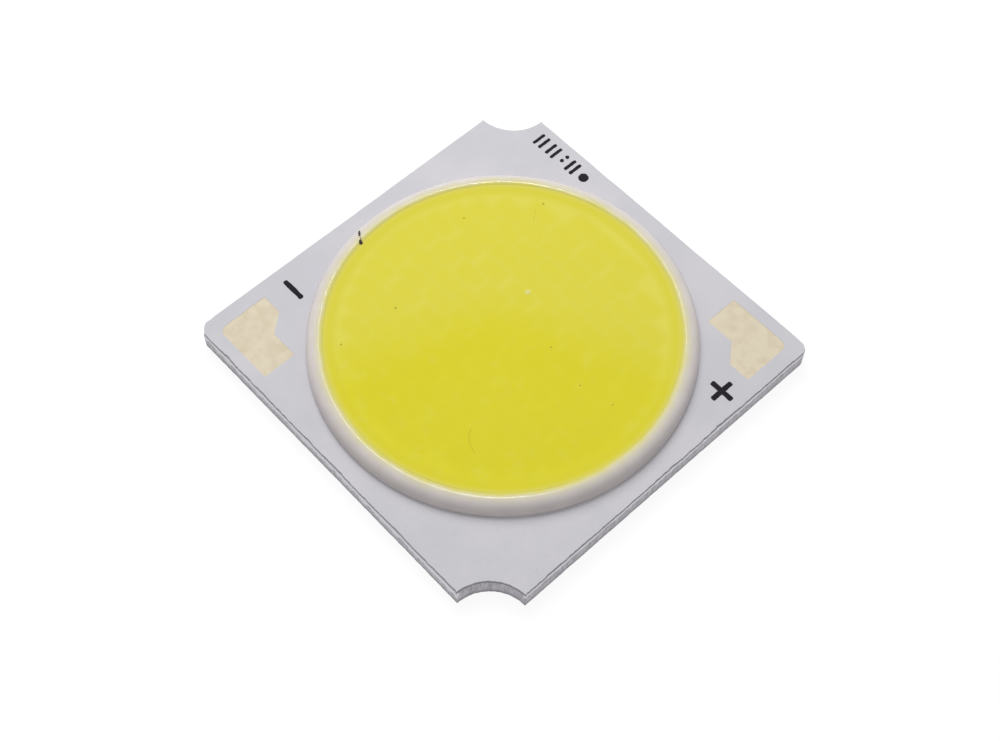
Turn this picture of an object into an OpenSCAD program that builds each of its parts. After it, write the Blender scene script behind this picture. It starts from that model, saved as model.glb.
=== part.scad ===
// Chip-on-board LED: a square aluminium-core board with two notched corners,
// a round field of blue chips, a white dam bead and a phosphor fill.
// The origin is at the middle of the heat face, and +Z points where the light goes.

/* [Board] */
// Side of the square board
board_w = 19; // [18.4:0.1:21]
// Thickness of the aluminium core
core_t = 0.9; // [0.6:0.05:2]
// Thickness of the insulating laminate
laminate_t = 0.07; // [0.05:0.01:0.15]
// Thickness of the copper foil
copper_t = 0.035; // [0.02:0.005:0.07]
// Thickness of the solder mask over the copper
mask_t = 0.03; // [0.02:0.005:0.06]
// Radius of the two screw notches, centred on their corners
notch_r = 1.95; // [1.2:0.05:2.6]
// Leg of the clipped corner beside the cathode pad
corner_clip = 0.42; // [0.1:0.02:0.7]
// Radius of the rounded corner beside the anode pad
corner_round = 0.45; // [0.1:0.05:0.7]

/* [Solder pads] */
// Length of a pad along the board's side, in X
pad_l = 3.22; // [2.6:0.02:3.4]
// Length of a pad along the other side, in Y
pad_w = 2.54; // [2:0.02:2.8]
// Depth of the pad's long arm
pad_arm_l = 1.65; // [1.2:0.05:1.8]
// Width of the pad's short arm
pad_arm_w = 1.07; // [0.8:0.01:1.3]
// Distance from the pad's outer side to the start of its slanted edge
pad_heel = 1.8; // [1.5:0.05:2.2]
// Radius of the pad's outer corner
pad_round = 0.38; // [0.1:0.02:0.6]
// Gap between a pad and the board's side, in X
pad_gap_x = 0.75; // [0.4:0.05:0.9]
// Gap between a pad and the board's side, in Y
pad_gap_y = 0.63; // [0.4:0.01:0.8]
// Thickness of the plating on a pad
plating_t = 0.02; // [0.005:0.005:0.03]
// How far the copper runs on under the mask round a pad
copper_lap = 0.15; // [0.05:0.05:0.3]

/* [Traces] */
// Width of the copper ledge left open inside the dam, where the wires land
ledge_w = 0.45; // [0.35:0.05:0.6]
// Gap between the mirror window and the ring traces
ring_gap = 0.1; // [0.05:0.01:0.15]
// Width of the ring traces
ring_w = 1.1; // [0.8:0.05:1.5]
// Gap between the ends of the two ring traces
ring_split = 1.2; // [0.4:0.1:2]
// Width of the lead from a ring trace to its pad
lead_w = 2; // [0.8:0.1:2.4]

/* [Dam and fill] */
// Distance from the board's side to the dam's centre line
dam_gap = 1.45; // [1.2:0.05:1.7]
// Width of the dam at the mask
dam_w = 1.1; // [0.9:0.05:1.3]
// Height of the dam above the mask
dam_h = 0.66; // [0.5:0.02:0.9]
// How far the mask runs in under the dam, from the dam's centre line
mask_lap = 0.15; // [0:0.05:0.3]
// Drop from the dam's crest to the edge of the fill
fill_drop = 0.05; // [0.03:0.01:0.12]
// Depth of the hollow in the fill's surface
fill_sag = 0.05; // [0.02:0.01:0.15]
// Width of the curve where the fill climbs the dam
fill_curve = 1.3; // [0.6:0.1:2]

/* [Chips] */
// Length of a chip, in X
chip_l = 1.14; // [0.9:0.02:1.24]
// Width of a chip, in Y
chip_w = 0.6; // [0.4:0.02:0.76]
// Thickness of a chip
chip_t = 0.15; // [0.1:0.01:0.2]
// Thickness of the die attach under a chip
attach_t = 0.015; // [0.01:0.005:0.03]
// How far the die attach shows round a chip
attach_lap = 0.02; // [0.01:0.005:0.03]
// Gap between the chips and the mirror window's edge
chip_gap = 0.05; // [0.02:0.01:0.12]
// Distance from the outermost rows to the mirror window's edge
row_gap = 0.645; // [0.6:0.005:0.75]

/* [Bond wires] */
// Diameter of a bond wire
wire_d = 0.03; // [0.02:0.005:0.05]
// Rise of a wire's loop, as a share of the distance between its bonds
loop_rise = 0.2; // [0.15:0.01:0.2]
// Diameter of a ball bond
ball_d = 0.08; // [0.06:0.01:0.12]
// Height of a ball bond
ball_h = 0.04; // [0.03:0.005:0.06]
// Distance from a chip's end to its bond
bond_inset = 0.16; // [0.1:0.01:0.25]

/* [Hidden] */
// Number of chips in each row, from the -Y side to the +Y side
row_chips = [3, 5, 7, 8, 9, 8, 9, 10, 9, 8, 9, 8, 7, 5, 3];
rows = len(row_chips);

half_w = board_w / 2;
laminate_top = core_t + laminate_t;
copper_top = laminate_top + copper_t;
board_top = copper_top + mask_t;

dam_r = half_w - dam_gap;
dam_in = dam_r - dam_w / 2;
window_r = dam_in - ledge_w;
ring_in = window_r + ring_gap;
ring_out = ring_in + ring_w;
land_r = (ring_in + dam_in) / 2;

// The dam's section is a circle that is dam_w wide at the mask and dam_h high above it
bead_r = (dam_w * dam_w / 4 + dam_h * dam_h) / (2 * dam_h);
bead_z = board_top + dam_h - bead_r;
fill_edge = board_top + dam_h - fill_drop;
fill_mid = fill_edge - fill_sag;
// Radius at which the fill's surface meets the dam
fill_r = dam_r - sqrt(bead_r * bead_r - pow(fill_edge - bead_z, 2));

chip_z = core_t + attach_t;
chip_top = chip_z + chip_t;
row_pitch = 2 * (window_r - row_gap) / (rows - 1);
bond_x = chip_l / 2 - bond_inset;

pad_x1 = half_w - pad_gap_x;
pad_y1 = half_w - pad_gap_y;
pad_x0 = pad_x1 - pad_l;
pad_y0 = pad_y1 - pad_w;
pad_step_y = pad_y1 - pad_arm_l;
pad_step_x = pad_x1 - pad_heel;
pad_slant = atan2(pad_step_y - pad_y0, pad_heel - pad_arm_w);

edge_fn = 96;
ring_fn = 180;
wire_fn = 16;
slack = 1;

function row_y(row) = (row - (rows - 1) / 2) * row_pitch;
// Largest distance of a chip's middle from the row's middle at which its corners clear the window
function row_reach(row) =
  sqrt(pow(window_r - chip_gap, 2) - pow(abs(row_y(row)) + chip_w / 2, 2)) - chip_l / 2;
function chip_x(row, i) = row_reach(row) * (2 * i / (row_chips[row] - 1) - 1);
function slant_x(y, lap) = pad_step_x + (pad_step_y - y) / tan(pad_slant) - lap / sin(pad_slant);

// Board outline: two notched corners, one clipped corner and one rounded corner
module board_outline() {
  difference() {
    square(board_w, center = true);
    translate([-half_w, half_w]) circle(notch_r, $fn = edge_fn);
    translate([half_w, -half_w]) circle(notch_r, $fn = edge_fn);
    translate([-half_w, -half_w])
      rotate(45)
        square(corner_clip * sqrt(2), center = true);
    translate([half_w - corner_round, half_w - corner_round])
      difference() {
        square(corner_round + slack);
        circle(corner_round, $fn = edge_fn);
      }
  }
}

// Outline of the anode pad, grown by lap on every side
module pad_outline(lap) {
  round_r = pad_round + lap;
  polygon([
    [pad_x0 - lap, pad_y1 + lap],
    for (a = [90:-15:0])
      [pad_x1 - pad_round + round_r * cos(a), pad_y1 - pad_round + round_r * sin(a)],
    [pad_x1 + lap, pad_y0 - lap],
    [slant_x(pad_y0 - lap, lap), pad_y0 - lap],
    [slant_x(pad_step_y - lap, lap), pad_step_y - lap],
    [pad_x0 - lap, pad_step_y - lap]
  ]);
}

module ring_trace() {
  difference() {
    translate([0, 0, laminate_top])
      cylinder(h = copper_t, r = ring_out, $fn = ring_fn);
    translate([0, 0, laminate_top - slack])
      cylinder(h = copper_t + 2 * slack, r = ring_in, $fn = ring_fn);
    translate([-board_w + ring_split / 2, -board_w, laminate_top - slack])
      cube([board_w, 2 * board_w, copper_t + 2 * slack]);
  }
}

// Half ring on the +X side, its lead and its pad area in one copper foil
module trace() {
  lead_end = norm([slant_x(pad_step_y, 0), pad_step_y]) + lead_w / 2;
  union() {
    ring_trace();
    translate([0, 0, laminate_top]) {
      linear_extrude(copper_t) pad_outline(copper_lap);
      rotate(45)
        translate([(ring_in + ring_out) / 2, -lead_w / 2, 0])
          cube([lead_end - (ring_in + ring_out) / 2, lead_w, copper_t]);
    }
  }
}

module bead_section() {
  translate([dam_r, bead_z]) circle(bead_r, $fn = 48);
}

module chip_box(row, lap, z, h) {
  for (i = [0:row_chips[row] - 1])
    translate([chip_x(row, i) - chip_l / 2 - lap, row_y(row) - chip_w / 2 - lap, z])
      cube([chip_l + 2 * lap, chip_w + 2 * lap, h]);
}

// One bond wire in the XZ plane: an arc between two ball bonds that stand at x0, z0 and x1, z1
module bond_wire(x0, z0, x1, z1) {
  span = norm([x1 - x0, z1 - z0]);
  tilt = atan2(z1 - z0, x1 - x0);
  rise = loop_rise * span;
  arc_r = (span * span / 4 + rise * rise) / (2 * rise);
  half_a = asin(span / 2 / arc_r);
  union() {
    translate([(x0 + x1) / 2, 0, (z0 + z1) / 2 + ball_h / 2])
      rotate([0, -tilt, 0])
        translate([0, 0, rise - arc_r])
          rotate([90, 0, 0])
            rotate(90 - half_a)
              rotate_extrude(angle = 2 * half_a, $fn = edge_fn)
                translate([arc_r, 0])
                  circle(d = wire_d, $fn = wire_fn);
    translate([x0, 0, z0]) cylinder(h = ball_h, d = ball_d, $fn = wire_fn);
    translate([x1, 0, z1]) cylinder(h = ball_h, d = ball_d, $fn = wire_fn);
  }
}

// All wires of a row: from the cathode ring over every chip to the anode ring
module row_wires(row) {
  last = row_chips[row] - 1;
  y = row_y(row);
  land_x = sqrt(land_r * land_r - y * y);
  translate([0, y, 0]) {
    bond_wire(-land_x, copper_top, chip_x(row, 0) - bond_x, chip_top);
    for (i = [1:last])
      bond_wire(chip_x(row, i - 1) + bond_x, chip_top, chip_x(row, i) - bond_x, chip_top);
    bond_wire(chip_x(row, last) + bond_x, chip_top, land_x, copper_top);
  }
}

module aluminium_core() {
  color([0.62, 0.6, 0.62])
    linear_extrude(core_t)
      board_outline();
}

module laminate() {
  color([0.72, 0.72, 0.7])
    difference() {
      translate([0, 0, core_t])
        linear_extrude(laminate_t)
          board_outline();
      translate([0, 0, core_t - slack])
        cylinder(h = laminate_t + 2 * slack, r = window_r, $fn = ring_fn);
    }
}

module anode_trace() {
  color([0.8, 0.5, 0.3]) trace();
}

module cathode_trace() {
  color([0.78, 0.48, 0.3]) rotate(180) trace();
}

module solder_mask() {
  color([0.8, 0.79, 0.83])
    difference() {
      translate([0, 0, laminate_top])
        linear_extrude(board_top - laminate_top)
          board_outline();
      translate([0, 0, laminate_top - slack])
        cylinder(h = 3 * slack, r = dam_r - mask_lap, $fn = ring_fn);
      for (turn = [0, 180])
        rotate(turn) {
          trace();
          translate([0, 0, laminate_top - slack])
            linear_extrude(3 * slack) pad_outline(0);
        }
    }
}

module pad() {
  translate([0, 0, copper_top])
    linear_extrude(plating_t)
      pad_outline(0);
}

module anode_pad() {
  color([0.87, 0.83, 0.74]) pad();
}

module cathode_pad() {
  color([0.87, 0.83, 0.74]) rotate(180) pad();
}

// The bead's foot steps down from the mask to the copper at the mask's inner edge
module dam() {
  color([0.9, 0.88, 0.86])
    difference() {
      rotate_extrude($fn = ring_fn)
        intersection() {
          bead_section();
          union() {
            translate([0, board_top]) square([board_w, dam_h + slack]);
            translate([0, laminate_top]) square([dam_r - mask_lap, dam_h]);
          }
        }
      ring_trace();
      rotate(180) ring_trace();
    }
}

// The fill's section: a flat middle that climbs the dam at its edge
module phosphor_fill() {
  steps = 6;
  color([0.87, 0.84, 0.2])
    difference() {
      rotate_extrude($fn = ring_fn)
        polygon([
          [0, core_t],
          [window_r, core_t],
          [window_r, laminate_top],
          [dam_r, laminate_top],
          [dam_r, fill_edge],
          for (s = [steps:-1:0])
            [fill_r - fill_curve * (1 - s / steps), fill_mid + fill_sag * pow(s / steps, 2)],
          [0, fill_mid]
        ]);
      rotate_extrude($fn = ring_fn) bead_section();
      ring_trace();
      rotate(180) ring_trace();
      for (row = [0:rows - 1]) {
        chip_box(row, attach_lap, core_t - slack, attach_t + slack);
        chip_box(row, 0, core_t, attach_t + chip_t);
        row_wires(row);
      }
    }
}

module die_attach() {
  color([0.85, 0.85, 0.8])
    for (row = [0:rows - 1])
      chip_box(row, attach_lap, core_t, attach_t);
}

module chips_row(row) {
  color([0.45, 0.55, 0.75]) chip_box(row, 0, chip_z, chip_t);
}

module wires_row(row) {
  color([0.85, 0.68, 0.3]) row_wires(row);
}

aluminium_core();
laminate();
cathode_trace();
anode_trace();
solder_mask();
cathode_pad();
anode_pad();
dam();
phosphor_fill();
die_attach();
for (row = [0:rows - 1]) {
  chips_row(row);
  wires_row(row);
}
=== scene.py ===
import math
import bpy
from mathutils import Matrix, Vector, noise


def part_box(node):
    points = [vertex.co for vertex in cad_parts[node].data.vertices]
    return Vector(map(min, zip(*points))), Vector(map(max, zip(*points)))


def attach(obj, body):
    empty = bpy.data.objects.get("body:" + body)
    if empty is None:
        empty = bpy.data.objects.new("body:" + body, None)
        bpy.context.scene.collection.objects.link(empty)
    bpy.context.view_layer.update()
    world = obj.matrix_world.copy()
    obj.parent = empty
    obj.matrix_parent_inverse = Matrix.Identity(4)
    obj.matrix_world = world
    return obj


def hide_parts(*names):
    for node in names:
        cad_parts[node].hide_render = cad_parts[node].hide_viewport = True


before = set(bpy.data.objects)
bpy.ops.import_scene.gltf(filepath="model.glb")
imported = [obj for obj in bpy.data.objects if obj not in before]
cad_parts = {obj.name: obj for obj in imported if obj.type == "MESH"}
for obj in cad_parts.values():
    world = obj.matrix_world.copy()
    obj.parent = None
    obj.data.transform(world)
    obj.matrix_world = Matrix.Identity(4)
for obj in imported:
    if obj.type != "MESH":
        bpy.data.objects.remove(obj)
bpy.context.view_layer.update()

mm = 0.001
tiny = 0.004 * mm


# tools for the mesh work

def activate(piece):
    if bpy.context.object and bpy.context.object.mode != "OBJECT":
        bpy.ops.object.mode_set(mode="OBJECT")
    bpy.ops.object.select_all(action="DESELECT")
    piece.select_set(True)
    bpy.context.view_layer.objects.active = piece


def editMode():
    bpy.ops.object.mode_set(mode="EDIT")


def objectMode():
    bpy.ops.object.mode_set(mode="OBJECT")


def startPiece(name):  # names the primitive that was just added and puts its place into its mesh
    piece = bpy.context.object
    piece.name = name
    piece.data.name = name
    activate(piece)
    bpy.ops.object.transform_apply(location=True, rotation=True, scale=True)
    return piece


def selectEdges(piece, test):
    activate(piece)
    bpy.context.tool_settings.mesh_select_mode = (False, True, False)
    editMode()
    bpy.ops.mesh.select_all(action="DESELECT")
    objectMode()
    points = piece.data.vertices
    for edge in piece.data.edges:
        a, b = (points[index].co for index in edge.vertices)
        edge.select = test(a, b)
    editMode()


def selectFaces(piece, test):
    activate(piece)
    bpy.context.tool_settings.mesh_select_mode = (False, False, True)
    editMode()
    bpy.ops.mesh.select_all(action="DESELECT")
    objectMode()
    for face in piece.data.polygons:
        face.select = test(face)
    editMode()


def closeUp(piece, gap=0.0001 * mm):  # merges what meets and turns every face outwards
    activate(piece)
    editMode()
    bpy.ops.mesh.select_all(action="SELECT")
    bpy.ops.mesh.remove_doubles(threshold=gap)
    bpy.ops.mesh.normals_make_consistent(inside=False)
    objectMode()


def smooth(piece, degrees=35):
    activate(piece)
    bpy.ops.object.shade_smooth_by_angle(angle=math.radians(degrees))


def copyOfNode(node, name):
    piece = bpy.data.objects.new(name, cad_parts[node].data.copy())
    bpy.context.scene.collection.objects.link(piece)
    piece.data.name = name
    piece.data.materials.clear()
    activate(piece)
    bpy.ops.mesh.customdata_custom_splitnormals_clear()
    editMode()
    bpy.ops.mesh.select_all(action="SELECT")
    bpy.ops.mesh.remove_doubles(threshold=0.0001 * mm)
    bpy.ops.mesh.dissolve_limited(angle_limit=math.radians(0.4))
    bpy.ops.mesh.select_all(action="DESELECT")
    objectMode()
    return piece


def ringStack(name, segments, rings):  # a round shell from a list of (radius, height); its two ends stay open
    radius, height = rings[0]
    bpy.ops.object.select_all(action="DESELECT")
    bpy.ops.mesh.primitive_circle_add(vertices=segments, radius=radius, location=(0, 0, height))
    piece = startPiece(name)
    bpy.context.tool_settings.mesh_select_mode = (False, True, False)
    editMode()
    bpy.ops.mesh.select_all(action="SELECT")
    for nextRadius, nextHeight in rings[1:]:
        bpy.ops.mesh.extrude_edges_move()
        share = nextRadius / radius
        bpy.ops.transform.resize(value=(share, share, 1), center_override=(0, 0, height))
        bpy.ops.transform.translate(value=(0, 0, nextHeight - height))
        radius, height = nextRadius, nextHeight
    objectMode()
    return piece


def wear(point, size, seed):  # smooth noise from 0 to 1 with features of that size
    place = Vector((point.x, point.y, 0)) / size + Vector((seed, 2.3 * seed, 5.1 * seed))
    return 0.5 + 0.5 * max(-1.0, min(1.0, 1.6 * noise.noise(place)))


# tools for the materials

def tint(red, green, blue):  # display values from 0 to 255 as scene colour
    def linear(value):
        value /= 255
        return value / 12.92 if value <= 0.04045 else ((value + 0.055) / 1.055) ** 2.4
    return (linear(red), linear(green), linear(blue), 1)


class Finish:  # one material with its texture nodes, in millimetres of the object's own space
    def __init__(self, name, **settings):
        self.material = bpy.data.materials.new(name)
        self.material.use_nodes = True
        self.nodes = self.material.node_tree.nodes
        self.links = self.material.node_tree.links
        self.shader = self.nodes["Principled BSDF"]
        for socket, value in settings.items():
            self.shader.inputs[socket.replace("_", " ")].default_value = value
        self.place = self.nodes.new("ShaderNodeTexCoord").outputs["Object"]

    def scaled(self, x, y, z):  # the place in millimetres, stretched
        mapping = self.nodes.new("ShaderNodeMapping")
        mapping.inputs["Scale"].default_value = (x / mm, y / mm, z / mm)
        self.links.new(self.place, mapping.inputs["Vector"])
        return mapping.outputs["Vector"]

    def noise(self, scale, detail=3, rough=0.5, stretch=(1, 1, 1)):
        texture = self.nodes.new("ShaderNodeTexNoise")
        texture.inputs["Scale"].default_value = scale
        texture.inputs["Detail"].default_value = detail
        texture.inputs["Roughness"].default_value = rough
        self.links.new(self.scaled(*stretch), texture.inputs["Vector"])
        return texture.outputs["Fac"]

    def radius(self):  # distance from the Z axis in millimetres
        separate = self.nodes.new("ShaderNodeSeparateXYZ")
        self.links.new(self.scaled(1, 1, 1), separate.inputs["Vector"])
        return self.math("SQRT", self.math("ADD", self.math("MULTIPLY", separate.outputs["X"], separate.outputs["X"]),
                                           self.math("MULTIPLY", separate.outputs["Y"], separate.outputs["Y"])))

    def axis(self, name):
        separate = self.nodes.new("ShaderNodeSeparateXYZ")
        self.links.new(self.scaled(1, 1, 1), separate.inputs["Vector"])
        return separate.outputs[name]

    def attribute(self, name):
        node = self.nodes.new("ShaderNodeAttribute")
        node.attribute_name = name
        return node.outputs["Fac"]

    def math(self, operation, a, b=None):
        node = self.nodes.new("ShaderNodeMath")
        node.operation = operation
        for socket, value in zip(node.inputs, (a, b)):
            if isinstance(value, (int, float)):
                socket.default_value = value
            elif value is not None:
                self.links.new(value, socket)
        return node.outputs["Value"]

    def ramp(self, factor, low, high, start=0.0, end=1.0):  # carries a number from low..high to start..end
        node = self.nodes.new("ShaderNodeMapRange")
        node.interpolation_type = "SMOOTHSTEP"
        for socket, value in zip(("From Min", "From Max", "To Min", "To Max"), (low, high, start, end)):
            node.inputs[socket].default_value = value
        self.links.new(factor, node.inputs["Value"])
        return node.outputs["Result"]

    def mix(self, factor, under, over):
        node = self.nodes.new("ShaderNodeMix")
        node.data_type = "RGBA"
        sockets = [node.inputs["Factor"], node.inputs[6], node.inputs[7]]
        for socket, value in zip(sockets, (factor, under, over)):
            if isinstance(value, (int, float, tuple)):
                socket.default_value = value
            else:
                self.links.new(value, socket)
        return node.outputs[2]

    def colour(self, socket):
        self.links.new(socket, self.shader.inputs["Base Color"])

    def roughness(self, socket):
        self.links.new(socket, self.shader.inputs["Roughness"])

    def bump(self, heights):  # (height, depth in mm) pairs, added up
        total = None
        for height, depth in heights:
            part = self.math("MULTIPLY", height, depth * mm)
            total = part if total is None else self.math("ADD", total, part)
        node = self.nodes.new("ShaderNodeBump")
        node.inputs["Distance"].default_value = 1
        node.inputs["Strength"].default_value = 1
        self.links.new(total, node.inputs["Height"])
        self.links.new(node.outputs["Normal"], self.shader.inputs["Normal"])


def finishPiece(piece, finish, slotName, *nodes):
    piece.data.materials.clear()
    piece.data.materials.append(finish.material)
    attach(piece, "root")
    if nodes:
        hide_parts(*nodes)


# the board's own measures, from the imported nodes

boardLow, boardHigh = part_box("aluminium_core")
half = boardHigh.x
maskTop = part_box("solder_mask")[1].z
corePoints = [vertex.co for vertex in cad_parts["aluminium_core"].data.vertices]
notchCorners = [Vector((-half, half)), Vector((half, -half))]
notchRadius = min((point.xy - notchCorners[0]).length for point in corePoints)
damPoints = [vertex.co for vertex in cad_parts["dam"].data.vertices]
damOuter = max(point.xy.length for point in damPoints)
damInner = min(point.xy.length for point in damPoints)
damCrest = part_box("dam")[1].z
print("measures: half board %.3f mm, notch %.3f mm, dam %.3f to %.3f mm" % (
    half / mm, notchRadius / mm, damInner / mm, damOuter / mm))


# the board: aluminium plate, laminate and solder mask, punched out together

board = {
    "rimStep": 0.135 * mm,  # spacing of the points along the rim
    "coreRoll": 0.055 * mm,  # rounding that the punch leaves at the plate's top edge
    "coreBreak": 0.03 * mm,  # small break at the bottom edge
    "flute": 0.014 * mm,  # depth of the upright shear marks
    "drawn": 0.035 * mm,  # how far the mask always stays back from the rim
    "raggedFar": 0.03 * mm,  # further chipping on the sides where the punch cut clean
    "raggedNear": 0.1 * mm,  # and on the two sides where it tore
    "fluteSize": 0.16 * mm,
    "deepSize": 0.9 * mm,  # size of the larger chips along the rim
    "fineSize": 0.22 * mm,
    "deepShare": 0.6,
    "tearFrom": 0.8,  # share of the half board from which a near side counts as torn
    "cornerZone": 0.46 * mm,
}


def onRim(point):
    if max(abs(point.x), abs(point.y)) > half - tiny:
        return True
    if min((point.xy - corner).length for corner in notchCorners) < notchRadius + tiny:
        return True
    return min(point.x, point.y) > half - board["cornerZone"]


def inward(point):
    for corner in notchCorners:
        away = point.xy - corner
        if away.length < notchRadius + tiny:
            return away.normalized()
    pull = Vector((0, 0))
    if abs(point.x) > half - tiny:
        pull.x = -math.copysign(1, point.x)
    if abs(point.y) > half - tiny:
        pull.y = -math.copysign(1, point.y)
    if pull.length == 0:
        pull = -point.xy
    return pull.normalized()


def openFaces(piece):  # takes the upper and lower faces off, so that the walls can be worked on
    heights = [vertex.co.z for vertex in piece.data.vertices]
    low, high = min(heights), max(heights)
    selectFaces(piece, lambda face: abs(face.normal.z) > 0.9
                and min(face.center.z - low, high - face.center.z) < tiny)
    bpy.ops.mesh.delete(type="FACE")
    objectMode()
    return low, high


def splitRim(piece):  # halves the rim's straight edges until they are short
    longest = board["rimStep"] * 2
    while longest > board["rimStep"]:
        selectEdges(piece, lambda a, b: onRim(a) and onRim(b) and abs(a.z - b.z) < tiny
                    and (a - b).length > board["rimStep"])
        bpy.ops.mesh.subdivide(number_cuts=1)
        objectMode()
        points = piece.data.vertices
        longest = max((points[edge.vertices[0]].co - points[edge.vertices[1]].co).length
                      for edge in piece.data.edges
                      if all(onRim(points[index].co) for index in edge.vertices)
                      and abs(points[edge.vertices[0]].co.z - points[edge.vertices[1]].co.z) < tiny)


def fillFaces(piece, heights, single):  # puts the upper and lower faces back, round any openings
    for height in heights:
        selectEdges(piece, lambda a, b: abs(a.z - height) < tiny / 8 and abs(b.z - height) < tiny / 8)
        if single:
            bpy.ops.mesh.edge_face_add()
        else:
            bpy.ops.mesh.fill(use_beauty=True)
        objectMode()
    closeUp(piece)


def tearing(point):  # 1 where the edge tore, 0 where it cut clean
    nearSide = max(point.x, -point.y) / half
    return max(0.0, min(1.0, (nearSide - board["tearFrom"]) / (1 - board["tearFrom"])))


def raggedness(point):
    torn = tearing(point)
    deep = wear(point, board["deepSize"], 3) ** 3
    fine = wear(point, board["fineSize"], 8) ** 2
    ragged = board["raggedFar"] * (1 - torn) + board["raggedNear"] * torn
    return board["drawn"] + ragged * (board["deepShare"] * deep + (1 - board["deepShare"]) * fine)


def drawRim(piece, share):  # share(height) gives how much of the chipping a point at that height follows
    for vertex in piece.data.vertices:
        if onRim(vertex.co):
            move = inward(vertex.co) * raggedness(vertex.co) * share(vertex.co.z)
            vertex.co.x += move.x
            vertex.co.y += move.y


corePlate = copyOfNode("aluminium_core", "corePlate")
coreFaces = openFaces(corePlate)
splitRim(corePlate)
for vertex in corePlate.data.vertices:
    depth = board["flute"] * wear(vertex.co, board["fluteSize"], 5) ** 2
    move = inward(vertex.co) * depth
    vertex.co.x += move.x
    vertex.co.y += move.y
fillFaces(corePlate, coreFaces, True)
for height, rounding, steps in ((boardHigh.z, board["coreRoll"], 3), (boardLow.z, board["coreBreak"], 2)):
    selectEdges(corePlate, lambda a, b: abs(a.z - height) < tiny and abs(b.z - height) < tiny)
    bpy.ops.mesh.bevel(offset=rounding, segments=steps, profile=0.5, affect="EDGES")
    objectMode()
smooth(corePlate, 40)

laminateSheet = copyOfNode("laminate", "laminateSheet")
laminateLow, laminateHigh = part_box("laminate")
laminateFaces = openFaces(laminateSheet)
splitRim(laminateSheet)
drawRim(laminateSheet, lambda z: 0.75 if z > laminateLow.z + tiny else 0.6)
fillFaces(laminateSheet, laminateFaces, False)
smooth(laminateSheet, 40)

maskSheet = copyOfNode("solder_mask", "maskSheet")
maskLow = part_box("solder_mask")[0].z
maskFaces = openFaces(maskSheet)
splitRim(maskSheet)
drawRim(maskSheet, lambda z: 1.0 if z > maskLow + tiny else 0.8)
fillFaces(maskSheet, maskFaces, False)
smooth(maskSheet, 40)
print("board: plate %d, laminate %d, mask %d faces" % tuple(
    len(piece.data.polygons) for piece in (corePlate, laminateSheet, maskSheet)))


# the dam: a bead of white silicone, laid round the light field

dam = {
    "middle": (damOuter + damInner) / 2,
    "bead": (damOuter - damInner) / 2,
    "segments": 288,
    "around": 72,
    "foot": 0.15 * mm,  # how far the mask runs in under the bead
    "sway": 0.012 * mm,  # unevenness of the bead along its length
    "dip": 0.01 * mm,
}
dam["centre"] = damCrest - dam["bead"]
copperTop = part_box("anode_trace")[1].z

bpy.ops.object.select_all(action="DESELECT")
bpy.ops.mesh.primitive_circle_add(vertices=dam["around"], radius=dam["bead"], fill_type="NGON",
                                  location=(dam["middle"], 0, dam["centre"]), rotation=(math.pi / 2, 0, 0))
damBead = startPiece("damBead")
editMode()
bpy.ops.mesh.select_all(action="SELECT")
bpy.ops.mesh.bisect(plane_co=(0, 0, maskTop), plane_no=(0, 0, 1), clear_inner=True)
bpy.ops.mesh.select_all(action="SELECT")
bpy.ops.mesh.bisect(plane_co=(dam["middle"] - dam["foot"], 0, 0), plane_no=(1, 0, 0))
objectMode()
selectEdges(damBead, lambda a, b: max(a.z, b.z) < maskTop + tiny
            and max(a.x, b.x) < dam["middle"] - dam["foot"] + tiny)
bpy.ops.mesh.extrude_edges_move()
bpy.ops.transform.translate(value=(0, 0, copperTop - maskTop))
bpy.ops.mesh.select_all(action="SELECT")
bpy.ops.mesh.dissolve_limited(angle_limit=math.radians(0.1))
bpy.ops.mesh.delete(type="ONLY_FACE")
bpy.ops.mesh.select_all(action="SELECT")
bpy.ops.mesh.spin(steps=dam["segments"], angle=math.tau, center=(0, 0, 0), axis=(0, 0, 1))
closeUp(damBead)
for vertex in damBead.data.vertices:
    high = max(0.0, min(1.0, (vertex.co.z - maskTop) / (damCrest - maskTop)))
    around = vertex.co.xy.normalized()
    lean = dam["sway"] * high * (wear(Vector((around.x, around.y)) * mm, 0.45 * mm, 2) - 0.5)
    vertex.co.x += around.x * lean
    vertex.co.y += around.y * lean
    vertex.co.z -= dam["dip"] * high * wear(Vector((around.x, around.y)) * mm, 0.3 * mm, 6)
smooth(damBead, 50)
print("dam: %d faces" % len(damBead.data.polygons))


# the phosphor fill: silicone poured inside the dam, with a hollow face that climbs the bead

fill = {
    "segments": 240,
    "edge": damCrest - 0.05 * mm,  # where the fill ends on the bead
    "sag": 0.05 * mm,
    "tip": 0.02 * mm,  # radius of the small faces that close the shell
    "curve": 1.3 * mm,
    "rings": 52,
    "wave": 0.012 * mm,
    "chipShade": 0.35 * mm,  # softness of the shade that a buried chip gives
}
fill["radius"] = dam["middle"] - math.sqrt(dam["bead"] ** 2 - (fill["edge"] - dam["centre"]) ** 2)
windowRadius = min((vertex.co.xy.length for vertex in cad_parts["laminate"].data.vertices))
fillProfile = []
wallSteps = 10
wallLow = math.asin((laminateHigh.z - dam["centre"]) / dam["bead"])
wallHigh = math.asin((fill["edge"] - dam["centre"]) / dam["bead"])
fillProfile.append((fill["tip"], boardHigh.z))
fillProfile.append((windowRadius, boardHigh.z))
fillProfile.append((windowRadius, laminateHigh.z))
for step in range(wallSteps + 1):
    angle = wallLow + (wallHigh - wallLow) * step / wallSteps
    fillProfile.append((dam["middle"] - dam["bead"] * math.cos(angle), dam["centre"] + dam["bead"] * math.sin(angle)))
for step in range(1, fill["rings"] + 1):
    radius = fill["radius"] * (1 - (step / fill["rings"]) ** 1.25)
    climb = max(0.0, 1 - (fill["radius"] - radius) / fill["curve"])
    fillProfile.append((max(radius, fill["tip"]), fill["edge"] - fill["sag"] * (1 - climb ** 2)))
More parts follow.
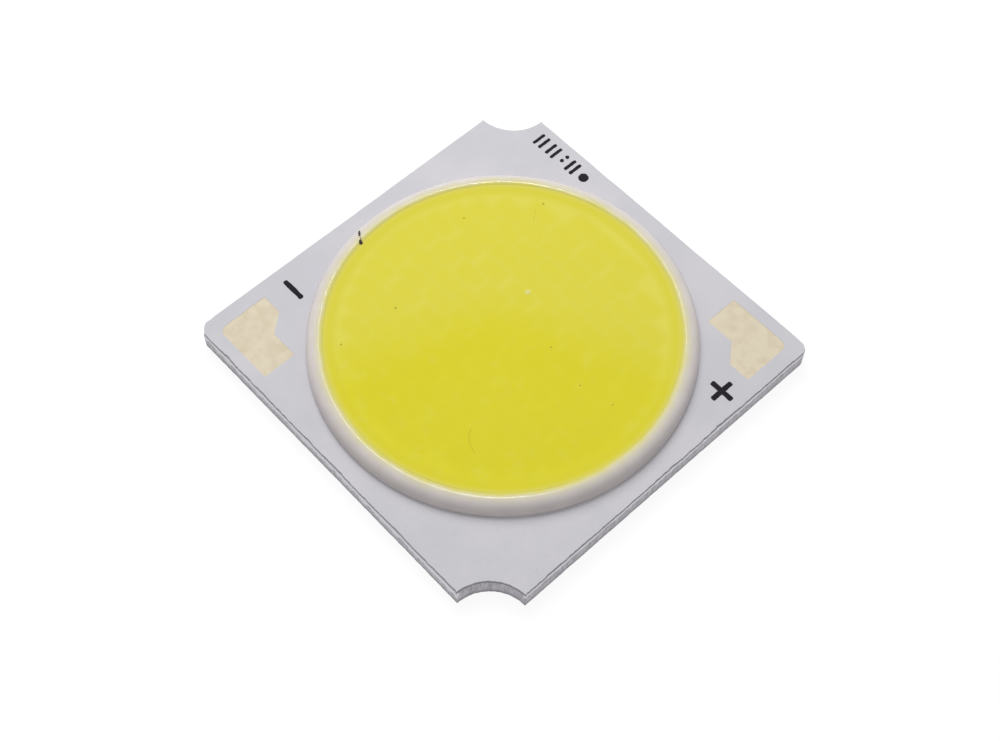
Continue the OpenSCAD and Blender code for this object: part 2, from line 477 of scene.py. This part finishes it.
phosphorFill = ringStack("phosphorFill", fill["segments"], fillProfile)
activate(phosphorFill)
bpy.context.tool_settings.mesh_select_mode = (False, True, False)
for height in (boardHigh.z, fill["edge"] - fill["sag"]):
    selectEdges(phosphorFill, lambda a, b: max(a.xy.length, b.xy.length) < 1.25 * fill["tip"]
                and abs(a.z - height) < tiny and abs(b.z - height) < tiny)
    bpy.ops.mesh.edge_face_add()
    objectMode()
closeUp(phosphorFill)

chipBoxes = []
for name in sorted(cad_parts):
    if name.startswith("chips_row"):
        low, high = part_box(name)
        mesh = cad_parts[name].data
        count = len(mesh.polygons) // 12
        points = sorted({round(vertex.co.x / mm, 4) for vertex in mesh.vertices})
        for index in range(count):
            left, right = points[2 * index] * mm, points[2 * index + 1] * mm
            chipBoxes.append((left, right, low.y, high.y))
print("chips: %d" % len(chipBoxes))
shade = phosphorFill.data.attributes.new("chipShade", "FLOAT", "POINT")
for vertex in phosphorFill.data.vertices:
    x, y = vertex.co.x, vertex.co.y
    if vertex.co.z > maskTop and vertex.co.xy.length < fill["radius"] - 0.01 * mm:
        climb = max(0.0, 1 - (fill["radius"] - vertex.co.xy.length) / (0.5 * mm))
        vertex.co.z -= fill["wave"] * (1 - climb) * wear(vertex.co, 1.7 * mm, 4)
    most = 0.0
    for left, right, low, high in chipBoxes:
        dx = max(left - x, x - right, 0.0)
        dy = max(low - y, y - high, 0.0)
        if dx < fill["chipShade"] and dy < fill["chipShade"]:
            distance = math.hypot(dx, dy) / fill["chipShade"]
            most = max(most, 1 - distance)
    shade.data[vertex.index].value = most
smooth(phosphorFill, 50)
print("fill: %d faces" % len(phosphorFill.data.polygons))


# printed marks, in raised ink on the mask

ink = {
    "height": 0.012 * mm,
    "sunk": 0.004 * mm,  # how deep a mark reaches into the mask, so that no gap shows
    "crown": 0.004 * mm,  # how much higher a stroke is inside its rim
    "rough": 0.03 * mm,
    "stroke": 0.24 * mm,
    "roundEnd": 0.07 * mm,
    "plusSpan": 1.2 * mm,
    "plusFromRight": 1.14 * mm,
    "plusFromBack": 4.4 * mm,
    "minusSpan": 1.25 * mm,
    "minusFromLeft": 1.32 * mm,
    "minusFromFront": 4.36 * mm,
    "rowFromBack": 0.8 * mm,
    "barWide": 0.16 * mm,
    "barTall": 0.74 * mm,
    "barPlaces": (-6.85, -6.5, -6.05, -5.7, -4.75, -4.42),
    "spotPlaces": ((-5.2, -0.1), (-5.17, 0.22)),
    "spot": 0.1 * mm,
    "dotPlace": (-3.81, -0.05),
    "dot": 0.24 * mm,
}


def softenInk(piece):  # sinks the upper rim a little and roughens the outline
    selectFaces(piece, lambda face: face.normal.z > 0.9)
    bpy.ops.mesh.inset(thickness=0.02 * mm, depth=0)
    bpy.ops.transform.translate(value=(0, 0, ink["crown"]))
    objectMode()
    for vertex in piece.data.vertices:
        vertex.co.x += ink["rough"] * (wear(vertex.co, 0.12 * mm, 11) - 0.5)
        vertex.co.y += ink["rough"] * (wear(vertex.co, 0.12 * mm, 17) - 0.5)
    closeUp(piece, 0.00005 * mm)
    smooth(piece, 50)


def inkBlock(name, x, y, wide, tall):
    thick = ink["height"] - ink["crown"] + ink["sunk"]
    bpy.ops.object.select_all(action="DESELECT")
    bpy.ops.mesh.primitive_cube_add(size=1, location=(x, y, maskTop - ink["sunk"] + thick / 2),
                                    scale=(wide, tall, thick))
    return startPiece(name)


def roundCorners(piece, rounding):  # rounds the upright outer corners
    far = max(vertex.co.x for vertex in piece.data.vertices), max(vertex.co.y for vertex in piece.data.vertices)
    near = min(vertex.co.x for vertex in piece.data.vertices), min(vertex.co.y for vertex in piece.data.vertices)

    def atEnd(point):
        return min(far[0] - point.x, far[1] - point.y, point.x - near[0], point.y - near[1]) < tiny / 4
    selectEdges(piece, lambda a, b: (a.xy - b.xy).length < tiny / 4 and atEnd(a))
    bpy.ops.mesh.bevel(offset=rounding, segments=4, profile=0.5, affect="EDGES")
    objectMode()


def inkBar(name, x, y, wide, tall, rounding):
    piece = inkBlock(name, x, y, wide, tall)
    roundCorners(piece, rounding)
    selectEdges(piece, lambda a, b: (a.xy - b.xy).length > 1.5 * min(wide, tall))
    bpy.ops.mesh.subdivide(number_cuts=7)
    objectMode()
    softenInk(piece)
    return piece


def inkPlus(name, x, y, span, stroke, rounding):
    piece = inkBlock(name, x, y, stroke, stroke)
    reach = (span - stroke) / 2
    for direction in ((1, 0, 0), (-1, 0, 0), (0, 1, 0), (0, -1, 0)):
        selectFaces(piece, lambda face: face.normal.dot(Vector(direction)) > 0.9
                    and (face.center.xy - Vector((x, y))).length < 0.6 * stroke)
        bpy.ops.mesh.extrude_region_move()
        bpy.ops.transform.translate(value=tuple(reach * part for part in direction))
        objectMode()
    roundCorners(piece, rounding)
    selectEdges(piece, lambda a, b: (a.xy - b.xy).length > 0.8 * reach)
    bpy.ops.mesh.subdivide(number_cuts=3)
    objectMode()
    softenInk(piece)
    return piece


def inkDot(name, x, y, radius):
    thick = ink["height"] - ink["crown"] + ink["sunk"]
    bpy.ops.object.select_all(action="DESELECT")
    bpy.ops.mesh.primitive_cylinder_add(vertices=28, radius=radius, depth=thick,
                                        location=(x, y, maskTop - ink["sunk"] + thick / 2))
    piece = startPiece(name)
    softenInk(piece)
    return piece


def joined(pieces, name):
    activate(pieces[0])
    for piece in pieces[1:]:
        piece.select_set(True)
    bpy.ops.object.join()
    pieces[0].name = name
    return pieces[0]


plusMark = inkPlus("plusMark", half - ink["plusFromRight"], half - ink["plusFromBack"],
                   ink["plusSpan"], ink["stroke"], ink["roundEnd"])
minusMark = inkBar("minusMark", -half + ink["minusFromLeft"], -half + ink["minusFromFront"],
                   ink["minusSpan"], ink["stroke"], 0.1 * mm)
rowY = half - ink["rowFromBack"]
codeParts = [inkBar("codeBar", place * mm, rowY, ink["barWide"], ink["barTall"], 0.06 * mm)
             for place in ink["barPlaces"]]
codeParts += [inkDot("codeSpot", x * mm, rowY + y * mm, ink["spot"]) for x, y in ink["spotPlaces"]]
codeRow = joined(codeParts, "codeRow")
dotMark = inkDot("dotMark", ink["dotPlace"][0] * mm, rowY + ink["dotPlace"][1] * mm, ink["dot"])
print("marks made")


# what lies on the part: a black fleck on the bead, specks and a fibre in the fill

def beadHeight(radius):
    across = min(abs(radius - dam["middle"]), dam["bead"])
    return dam["centre"] + math.sqrt(dam["bead"] ** 2 - across ** 2)


def fillHeight(x, y):
    radius = math.hypot(x, y)
    climb = max(0.0, 1 - (fill["radius"] - radius) / fill["curve"])
    return fill["edge"] - fill["sag"] * (1 - climb ** 2)


dirt = {
    "fleck": ((-8.22, -1.19, 0.05), (-8.12, -1.26, 0.065), (-8.02, -1.33, 0.07), (-7.93, -1.38, 0.055),
              (-7.86, -1.42, 0.05), (-7.78, -1.5, 0.085), (-7.7, -1.55, 0.09)),
    "specks": ((-3.72, 5.98, 0.06), (-5.6, 2.8, 0.05), (2.02, 0.99, 0.05), (5.84, 0.96, 0.045),
               (4.24, 0.59, 0.04), (-4.06, -2.63, 0.05), (-4.26, -5.59, 0.045)),
    "paleSpot": (-0.73, 2.2, 0.14),
    "fibre": ((2.62, -4.23), (2.72, -4.46), (2.94, -4.64), (3.24, -4.8), (3.6, -4.89)),
    "fibreThick": 0.016,
    "fleckTall": 0.02 * mm,
    "fleckUnder": 0.022 * mm,  # how far a fleck's middle stays under the crest
    "speckTall": 0.012 * mm,
    "speckSunk": 0.008 * mm,
    "spotTall": 0.014 * mm,
    "spotSunk": 0.01 * mm,
    "strandSunk": 0.006 * mm,
    "scratch": ((-3.72, 5.5), (-3.55, 5.3), (-3.4, 5.1), (-3.3, 4.95)),
    "scratchThick": 0.012,
}


def blob(name, x, y, z, wide, tall):
    bpy.ops.object.select_all(action="DESELECT")
    bpy.ops.mesh.primitive_ico_sphere_add(subdivisions=3, radius=1, location=(x, y, z), scale=(wide, wide, tall))
    piece = startPiece(name)
    for vertex in piece.data.vertices:
        push = 1 + 0.3 * (wear(vertex.co, wide * 0.9, 21) - 0.5)
        vertex.co.x = x + (vertex.co.x - x) * push
        vertex.co.y = y + (vertex.co.y - y) * push
    smooth(piece, 60)
    return piece


def strand(name, points, thick):  # a thin round strand through points on the fill
    curve = bpy.data.curves.new(name, "CURVE")
    curve.dimensions = "3D"
    curve.bevel_depth = thick * mm
    curve.bevel_resolution = 2
    curve.use_fill_caps = True
    line = curve.splines.new("NURBS")
    line.points.add(len(points) - 1)
    line.use_endpoint_u = True
    line.order_u = 4
    line.resolution_u = 6
    for point, (x, y) in zip(line.points, points):
        point.co = (x * mm, y * mm, fillHeight(x * mm, y * mm) - dirt["strandSunk"], 1)
    piece = bpy.data.objects.new(name, curve)
    bpy.context.scene.collection.objects.link(piece)
    activate(piece)
    bpy.ops.object.convert(target="MESH")
    piece = bpy.context.object
    closeUp(piece, 0.0001 * mm)
    smooth(piece, 60)
    return piece


fleckParts = []
for x, y, size in dirt["fleck"]:
    radius = math.hypot(x, y) * mm
    height = beadHeight(radius) if radius > fill["radius"] else fill["edge"]
    height = min(height, damCrest - dirt["fleckUnder"])
    fleckParts.append(blob("fleckPart", x * mm, y * mm, height, size * mm, dirt["fleckTall"]))
fleck = joined(fleckParts, "fleck")
speckParts = [blob("speckPart", x * mm, y * mm, fillHeight(x * mm, y * mm) - dirt["speckSunk"],
                   size * mm, dirt["speckTall"])
              for x, y, size in dirt["specks"]]
fillSpecks = joined(speckParts, "fillSpecks")
x, y, size = dirt["paleSpot"]
paleSpot = blob("paleSpot", x * mm, y * mm, fillHeight(x * mm, y * mm) - dirt["spotSunk"],
                size * mm, dirt["spotTall"])
fibre = strand("fibre", dirt["fibre"], dirt["fibreThick"])
scratch = strand("scratch", dirt["scratch"], dirt["scratchThick"])
print("dirt made")


# finishes

maskWhite = Finish("maskWhite", Roughness=0.42)
patches = maskWhite.noise(0.35, 3)
grains = maskWhite.noise(9, 4, 0.6)
maskTone = maskWhite.mix(maskWhite.ramp(patches, 0.35, 0.7), tint(205, 204, 210), tint(212, 210, 215))
maskTone = maskWhite.mix(maskWhite.ramp(grains, 0.6, 0.78, 0, 0.35), maskTone, tint(196, 194, 202))
maskDirt = maskWhite.ramp(maskWhite.noise(2.3, 5, 0.65), 0.7, 0.78, 0, 0.25)
maskTone = maskWhite.mix(maskDirt, maskTone, tint(176, 172, 176))
maskWhite.colour(maskTone)
maskWhite.roughness(maskWhite.ramp(grains, 0.3, 0.7, 0.36, 0.5))
maskWhite.bump([(maskWhite.noise(14, 3), 0.002), (patches, 0.01)])

laminateGrey = Finish("laminateGrey", Roughness=0.6)
weave = laminateGrey.noise(7, 3, 0.6, (1, 1, 0.3))
laminateGrey.colour(laminateGrey.mix(laminateGrey.ramp(weave, 0.35, 0.7), tint(168, 166, 168), tint(204, 202, 204)))
laminateGrey.bump([(weave, 0.01)])

plateMetal = Finish("plateMetal", Roughness=0.42, Metallic=0.85)
heightShare = plateMetal.axis("Z")
streaks = plateMetal.noise(9, 5, 0.65, (1, 1, 0.12))
rolled = plateMetal.noise(5, 4, 0.6, (0.04, 1, 1))
tone = plateMetal.mix(plateMetal.ramp(streaks, 0.35, 0.7), tint(150, 147, 154), tint(184, 181, 188))
# painted shade: the plate's walls are painted darker towards the bottom, next to the floor
tone = plateMetal.mix(plateMetal.ramp(heightShare, 0.0, 0.45, 0.8, 0), tone, tint(104, 100, 108))
smearing = {  # mask that the punch smeared down the walls, in millimetres
    "start": 0.15,  # how far in from a side it begins
    "full": 0.06,
    "front": 0.34,  # how far down it reaches on the front side
    "right": 0.14,
}
halfMm, plateTopMm = half / mm, boardHigh.z / mm
frontSide = plateMetal.ramp(plateMetal.axis("Y"), smearing["start"] - halfMm, smearing["full"] - halfMm)
rightSide = plateMetal.ramp(plateMetal.axis("X"), halfMm - smearing["start"], halfMm - smearing["full"])
smear = plateMetal.math("ADD", plateMetal.math("MULTIPLY", frontSide, smearing["front"]),
                        plateMetal.math("MULTIPLY", rightSide, smearing["right"]))
torn = plateMetal.ramp(plateMetal.noise(2.4, 5, 0.65, (1, 1, 0.2)), 0.3, 0.7, 0.55, 1.45)
smearLow = plateMetal.math("SUBTRACT", plateTopMm, plateMetal.math("MULTIPLY", smear, torn))
overSmear = plateMetal.ramp(plateMetal.math("SUBTRACT", heightShare, smearLow), 0.0, 0.05)
overSmear = plateMetal.math("MULTIPLY", overSmear, plateMetal.ramp(smear, 0.02, 0.1))
tone = plateMetal.mix(overSmear, tone, tint(208, 207, 212))
underneath = plateMetal.ramp(heightShare, 0.0, 0.02, 1, 0)
brushed = plateMetal.mix(plateMetal.ramp(rolled, 0.3, 0.7), tint(196, 196, 200), tint(216, 216, 220))
tone = plateMetal.mix(underneath, tone, brushed)
plateMetal.colour(tone)
plateMetal.roughness(plateMetal.ramp(rolled, 0.3, 0.7, 0.34, 0.5))
plateMetal.bump([(streaks, 0.012), (rolled, 0.006)])

siliconeWhite = Finish("siliconeWhite", Roughness=0.14)
siliconeWhite.shader.inputs["Subsurface Weight"].default_value = 0.12
siliconeWhite.shader.inputs["Subsurface Radius"].default_value = (0.4 * mm, 0.35 * mm, 0.3 * mm)
siliconeWhite.shader.inputs["Subsurface Scale"].default_value = 1
beadRadiusMm = siliconeWhite.radius()
haze = siliconeWhite.noise(1.1, 3)
beadTone = siliconeWhite.mix(siliconeWhite.ramp(haze, 0.35, 0.7), tint(221, 213, 211), tint(226, 218, 216))
# painted light: yellow light that the phosphor fill throws onto the bead, painted as a yellow tint on the bead's
# inner side and crest that fades outwards with the radius
wander = siliconeWhite.math("ADD", beadRadiusMm, siliconeWhite.ramp(haze, 0.3, 0.7, -0.04, 0.04))
beadTone = siliconeWhite.mix(siliconeWhite.ramp(wander, 7.9, 8.42, 0.6, 0), beadTone, tint(224, 219, 150))
beadTone = siliconeWhite.mix(siliconeWhite.ramp(wander, 7.78, 8.12, 0.95, 0), beadTone, tint(224, 215, 88))
siliconeWhite.colour(beadTone)
siliconeWhite.bump([(siliconeWhite.noise(1.6, 2), 0.006)])

phosphorYellow = Finish("phosphorYellow", Roughness=0.5)
phosphorYellow.shader.inputs["Specular IOR Level"].default_value = 0.35
fillRadiusMm = phosphorYellow.radius()
clouds = phosphorYellow.noise(0.32, 3)
mottle = phosphorYellow.noise(1.5, 3, 0.55)
chipFade = phosphorYellow.attribute("chipShade")
yellow = phosphorYellow.mix(phosphorYellow.ramp(clouds, 0.35, 0.68), tint(225, 216, 30), tint(227, 218, 42))
# painted sheen: the fill is painted paler towards the far left side, where the key lamp stands, and more so away from
# the centre
paintedSheen = phosphorYellow.math("SUBTRACT", phosphorYellow.axis("Y"), phosphorYellow.axis("X"))
paintedSheen = phosphorYellow.math("ADD", phosphorYellow.math("MULTIPLY", paintedSheen, 0.707),
                              phosphorYellow.math("MULTIPLY", fillRadiusMm, 0.45))
yellow = phosphorYellow.mix(phosphorYellow.ramp(paintedSheen, -0.5, 3.4), yellow, tint(228, 220, 82))
yellow = phosphorYellow.mix(phosphorYellow.ramp(mottle, 0.5, 0.78, 0, 0.4), yellow, tint(228, 222, 92))
yellow = phosphorYellow.mix(phosphorYellow.math("MULTIPLY", chipFade, 0.45), yellow, tint(222, 211, 26))
# painted shade: a deeper yellow ring near the rim, where the fill's meniscus curves up the bead; partly also the
# deeper colour of the thicker fill there
yellow = phosphorYellow.mix(phosphorYellow.ramp(fillRadiusMm, 7.1, 7.5, 0, 0.6), yellow, tint(221, 211, 42))
yellow = phosphorYellow.mix(phosphorYellow.ramp(fillRadiusMm, 7.56, 7.82, 0, 1), yellow, tint(224, 215, 88))
phosphorYellow.colour(yellow)
phosphorYellow.bump([(mottle, 0.004), (phosphorYellow.noise(12, 3), 0.002)])

padGold = Finish("padGold", Roughness=0.5, Metallic=0.15)
stains = padGold.noise(2.2, 5, 0.6)
padGrain = padGold.noise(16, 3)
padTone = padGold.mix(padGold.ramp(stains, 0.4, 0.72), tint(224, 212, 187), tint(218, 205, 178))
padTone = padGold.mix(padGold.ramp(padGrain, 0.5, 0.8, 0, 0.2), padTone, tint(230, 221, 200))
padGold.colour(padTone)
padGold.roughness(padGold.ramp(stains, 0.3, 0.7, 0.42, 0.6))
padGold.bump([(padGrain, 0.003), (stains, 0.004)])

copper = Finish("traceCopper", Roughness=0.35, Metallic=1.0)
copper.colour(copper.mix(copper.ramp(copper.noise(3, 3), 0.35, 0.7), tint(205, 128, 96), tint(224, 150, 116)))

chipBlue = Finish("chipBlue", Roughness=0.2)
chipBlue.colour(chipBlue.mix(chipBlue.ramp(chipBlue.noise(4, 2), 0.35, 0.7), tint(112, 140, 186),
                             tint(140, 164, 204)))

attachClear = Finish("attachClear", Roughness=0.3)
attachClear.colour(attachClear.mix(attachClear.ramp(attachClear.noise(5, 2), 0.35, 0.7),
                                   tint(220, 219, 208), tint(232, 231, 222)))

wireGold = Finish("wireGold", Roughness=0.25, Metallic=1.0)
wireGold.colour(wireGold.mix(wireGold.ramp(wireGold.noise(8, 2), 0.35, 0.7), tint(226, 186, 96), tint(238, 204, 124)))

inkBlack = Finish("inkBlack", Roughness=0.5)
inkBlack.shader.inputs["Specular IOR Level"].default_value = 0.2
inkSpread = inkBlack.noise(8, 3)
inkBlack.colour(inkBlack.mix(inkBlack.ramp(inkSpread, 0.35, 0.75), tint(10, 5, 16), tint(28, 22, 36)))
inkBlack.bump([(inkSpread, 0.003)])

sootBlack = Finish("sootBlack", Roughness=0.6)
sootBlack.colour(sootBlack.mix(sootBlack.ramp(sootBlack.noise(12, 3), 0.35, 0.75), tint(24, 12, 12),
                               tint(52, 34, 24)))

speckGreen = Finish("speckGreen", Roughness=0.6)
speckGreen.colour(speckGreen.mix(speckGreen.ramp(speckGreen.noise(14, 3), 0.35, 0.75),
                                 tint(176, 168, 40), tint(196, 188, 52)))

strandYellow = Finish("strandYellow", Roughness=0.6)
strandYellow.colour(strandYellow.mix(strandYellow.ramp(strandYellow.noise(14, 3), 0.35, 0.75),
                                     tint(204, 195, 44), tint(212, 203, 54)))

spotPale = Finish("spotPale", Roughness=0.35)
spotPale.colour(spotPale.mix(spotPale.ramp(spotPale.noise(10, 3), 0.35, 0.75), tint(222, 216, 110),
                             tint(228, 222, 150)))

finishPiece(corePlate, plateMetal, "aluminium", "aluminium_core")
finishPiece(laminateSheet, laminateGrey, "laminate", "laminate")
finishPiece(maskSheet, maskWhite, "white_mask", "solder_mask")
finishPiece(damBead, siliconeWhite, "white_silicone", "dam")
finishPiece(phosphorFill, phosphorYellow, "phosphor_silicone", "phosphor_fill")
for piece in (plusMark, minusMark, codeRow, dotMark):
    finishPiece(piece, inkBlack, "white_mask")
finishPiece(fleck, sootBlack, "white_silicone")
finishPiece(fillSpecks, speckGreen, "phosphor_silicone")
finishPiece(fibre, strandYellow, "phosphor_silicone")
finishPiece(scratch, strandYellow, "phosphor_silicone")
finishPiece(paleSpot, spotPale, "phosphor_silicone")

nodeFinishes = {"pad": padGold, "trace": copper, "chips": chipBlue, "wires": wireGold, "die": attachClear}
for name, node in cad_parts.items():
    for word, finish in nodeFinishes.items():
        if word in name:
            for slot in node.material_slots:
                slot.material = finish.material
print("finishes set")


# floor, light and camera

studio = {
    "floorSize": 900 * mm,
    "floorTone": 0.14,
    "floorGlow": 0.9,
    "worldStrength": 0.42,
    "keyPlace": (-80, 42, 118),
    "keySize": 110 * mm,
    "keyShare": 0.62,
    "glintPlaces": ((-0.27, 0.21, 0.94), (-0.39, 0.3, 0.87), (-0.28, 0.27, 0.92)),
    "glintDistance": 150 * mm,
    "glintSize": 7 * mm,
    "glintShare": 0.02,
}


def seenRays(nodes, links):  # 1 for rays that show a thing, 0 for rays that only carry its light
    path = nodes.new("ShaderNodeLightPath")
    total = path.outputs["Is Camera Ray"]
    for kind in ("Is Glossy Ray", "Is Transmission Ray"):
        add = nodes.new("ShaderNodeMath")
        add.operation = "ADD"
        add.use_clamp = True
        links.new(total, add.inputs[0])
        links.new(path.outputs[kind], add.inputs[1])
        total = add.outputs[0]
    return total


bpy.ops.object.select_all(action="DESELECT")
bpy.ops.mesh.primitive_plane_add(size=studio["floorSize"], location=(0, 0, -0.00001))
floor = startPiece("floor")
floorPaper = bpy.data.materials.new("floorPaper")
floorPaper.use_nodes = True
floorNodes, floorLinks = floorPaper.node_tree.nodes, floorPaper.node_tree.links
floorShader = floorNodes["Principled BSDF"]
floorShader.inputs["Base Color"].default_value = (studio["floorTone"],) * 3 + (1,)
floorShader.inputs["Roughness"].default_value = 0.9
floorShader.inputs["Specular IOR Level"].default_value = 0
floorShader.inputs["Emission Color"].default_value = (1, 1, 1, 1)
floorGlow = floorNodes.new("ShaderNodeMath")
floorGlow.operation = "MULTIPLY"
floorGlow.inputs[1].default_value = studio["floorGlow"]
floorLinks.new(seenRays(floorNodes, floorLinks), floorGlow.inputs[0])
floorLinks.new(floorGlow.outputs[0], floorShader.inputs["Emission Strength"])
floor.data.materials.append(floorPaper)

world = bpy.data.worlds.new("studioWorld")
bpy.context.scene.world = world
world.use_nodes = True
worldNodes, worldLinks = world.node_tree.nodes, world.node_tree.links
background = worldNodes["Background"]
background.inputs["Color"].default_value = (1, 1, 1, 1)
level = worldNodes.new("ShaderNodeMapRange")
level.inputs["To Min"].default_value = studio["worldStrength"]
level.inputs["To Max"].default_value = 1
worldLinks.new(seenRays(worldNodes, worldLinks), level.inputs["Value"])
worldLinks.new(level.outputs["Result"], background.inputs["Strength"])


def addLamp(name, place, size, share, shownInGloss):
    distance = Vector(place).length
    lamp = bpy.data.lights.new(name, "AREA")
    lamp.shape = "DISK"
    lamp.size = size
    lamp.energy = math.pi ** 2 * distance ** 2 * share
    holder = bpy.data.objects.new(name, lamp)
    bpy.context.scene.collection.objects.link(holder)
    holder.location = place
    holder.rotation_mode = "QUATERNION"
    holder.rotation_quaternion = Vector(place).to_track_quat("Z", "Y")
    holder.visible_glossy = shownInGloss
    return holder


addLamp("keyLamp", Vector(studio["keyPlace"]) * mm, studio["keySize"], studio["keyShare"], False)
for number, direction in enumerate(studio["glintPlaces"]):
    place = Vector(direction).normalized() * studio["glintDistance"]
    addLamp("glintLamp%d" % number, place, studio["glintSize"], studio["glintShare"], True)

view = {
    "eye": (26.92, -24.894, 62.072),
    "aim": (1.139, -1.203, 1.035),
    "roll": -0.19,
    "lens": 58.5,
}
cameraData = bpy.data.cameras.new("camera")
cameraData.lens = view["lens"]
cameraData.sensor_width = 36
cameraData.clip_start = 5 * mm
cameraData.clip_end = 5
camera = bpy.data.objects.new("camera", cameraData)
bpy.context.scene.collection.objects.link(camera)
bpy.context.scene.camera = camera
eye = Vector(view["eye"]) * mm
look = Vector(view["aim"]) * mm - eye
camera.rotation_mode = "QUATERNION"
camera.location = eye
camera.rotation_quaternion = look.to_track_quat("-Z", "Y") @ Matrix.Rotation(
    math.radians(view["roll"]), 3, "Z").to_quaternion()
bpy.context.scene.view_settings.view_transform = "Standard"
print("studio set")
